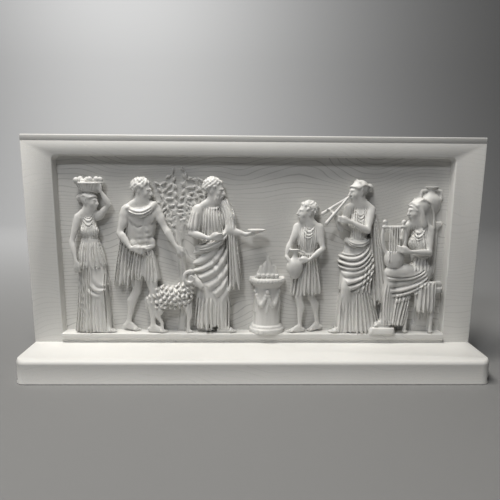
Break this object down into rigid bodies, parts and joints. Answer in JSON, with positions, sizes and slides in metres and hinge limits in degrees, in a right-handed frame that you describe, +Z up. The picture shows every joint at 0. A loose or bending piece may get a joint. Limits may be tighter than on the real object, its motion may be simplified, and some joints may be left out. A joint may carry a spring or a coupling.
{
  "type": "relief panel",
  "caption": "Small white resin relief panel on its own foot: a bordered, recessed slab with a carved frieze of a classical procession at an altar.",
  "frame": {"origin": "under the middle of the foot, on the surface it stands on", "axes": "+X along the long side, -Y towards the viewer of the frieze, +Z up"},
  "size_m": [0.2004, 0.0342, 0.1029],
  "materials": {
    "white_resin": "satin"
  },
  "bodies": {
    "root": {"relief_panel": "white_resin"}
  },
  "joints": []
}
